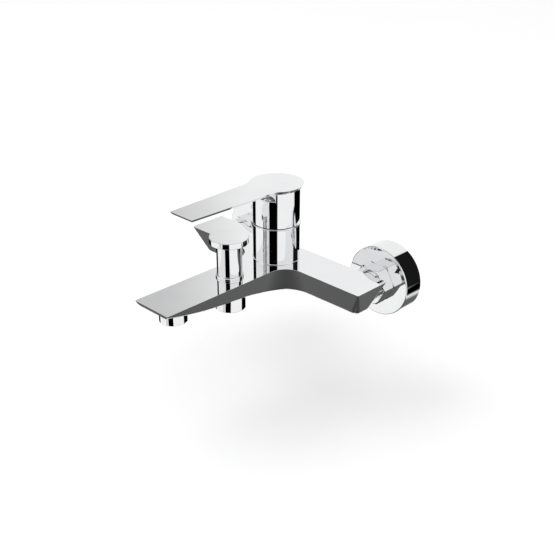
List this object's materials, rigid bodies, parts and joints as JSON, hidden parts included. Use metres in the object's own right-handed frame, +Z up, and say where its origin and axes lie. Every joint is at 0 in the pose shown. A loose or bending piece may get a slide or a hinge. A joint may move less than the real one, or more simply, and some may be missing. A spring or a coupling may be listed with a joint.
{
  "type": "wall mounted bath faucet",
  "caption": "Wall mounted single lever bath faucet in chrome: T-shaped flat body with a long spout, pull-up diverter knob, shower outlet below and round wall covers.",
  "frame": {"origin": "on the wall plane, midway between the two inlets, at the height of the body's inlet axes", "axes": "+X to the right as the bather sees it, +Y into the wall, +Z up"},
  "size_m": [0.2102, 0.2185, 0.1096],
  "materials": {
    "chrome": "polished",
    "brass": "machined",
    "steel": "bright",
    "ceramic": "lapped ceramic",
    "light_plastic": "moulded",
    "dark_plastic": "moulded",
    "rubber": "matte"
  },
  "bodies": {
    "root": {"body_casting": "chrome", "cartridge_base": "light_plastic", "cartridge_port_seals": "rubber", "fixed_ceramic_disc": "ceramic", "cartridge_housing": "dark_plastic", "cartridge_retaining_nut": "brass", "cover_dome": "chrome", "diverter_bonnet": "brass", "diverter_collar": "chrome", "diverter_neck": "chrome", "shower_outlet_gasket": "rubber", "aerator_housing": "chrome", "aerator_insert": "light_plastic", "aerator_washer": "rubber", "inlet_tailpiece_left": "chrome", "inlet_tailpiece_right": "chrome", "union_nut_left": "chrome", "union_nut_right": "chrome", "filter_washer_left": "rubber", "filter_washer_right": "rubber", "eccentric_union_left": "brass", "eccentric_union_right": "brass", "escutcheon_left": "chrome", "escutcheon_right": "chrome"},
    "rotor": {"cartridge_rotor": "light_plastic", "stem_pivot_pin": "steel"},
    "lever": {"lever_handle": "chrome", "lever_set_screw": "steel", "lever_screw_plug": "chrome", "control_stem": "brass"},
    "disc_slider": {"moving_ceramic_disc": "ceramic", "disc_carrier": "light_plastic"},
    "diverter_slider": {"diverter_knob": "chrome", "diverter_spindle": "steel", "diverter_valve": "rubber", "diverter_spring_clip": "steel", "diverter_spring": "steel"}
  },
  "joints": [
    {"name": "lever_turn", "type": "hinge", "parent": "root", "child": "rotor", "pos_m": [0, -0.0633, 0.047], "axis": [0, 0, 1], "range_deg": [-50, 50]},
    {"name": "lever_lift", "type": "hinge", "parent": "rotor", "child": "lever", "pos_m": [0, -0.0633, 0.047], "axis": [-1, 0, 0], "range_deg": [0, 18]},
    {"name": "disc_slide", "type": "slide", "parent": "rotor", "child": "disc_slider", "axis": [0, -1, 0], "range_m": [0, 0.003]},
    {"name": "diverter_pull", "type": "slide", "parent": "root", "child": "diverter_slider", "axis": [0, 0, 1], "range_m": [0, 0.008], "stiffness_N_per_m": 300, "springref_m": -0.004, "deforming": ["diverter_spring"]}
  ],
  "couplings": [
    {"joint": "disc_slide", "follows": "lever_lift", "m_per_rad": 0.009}
  ]
}
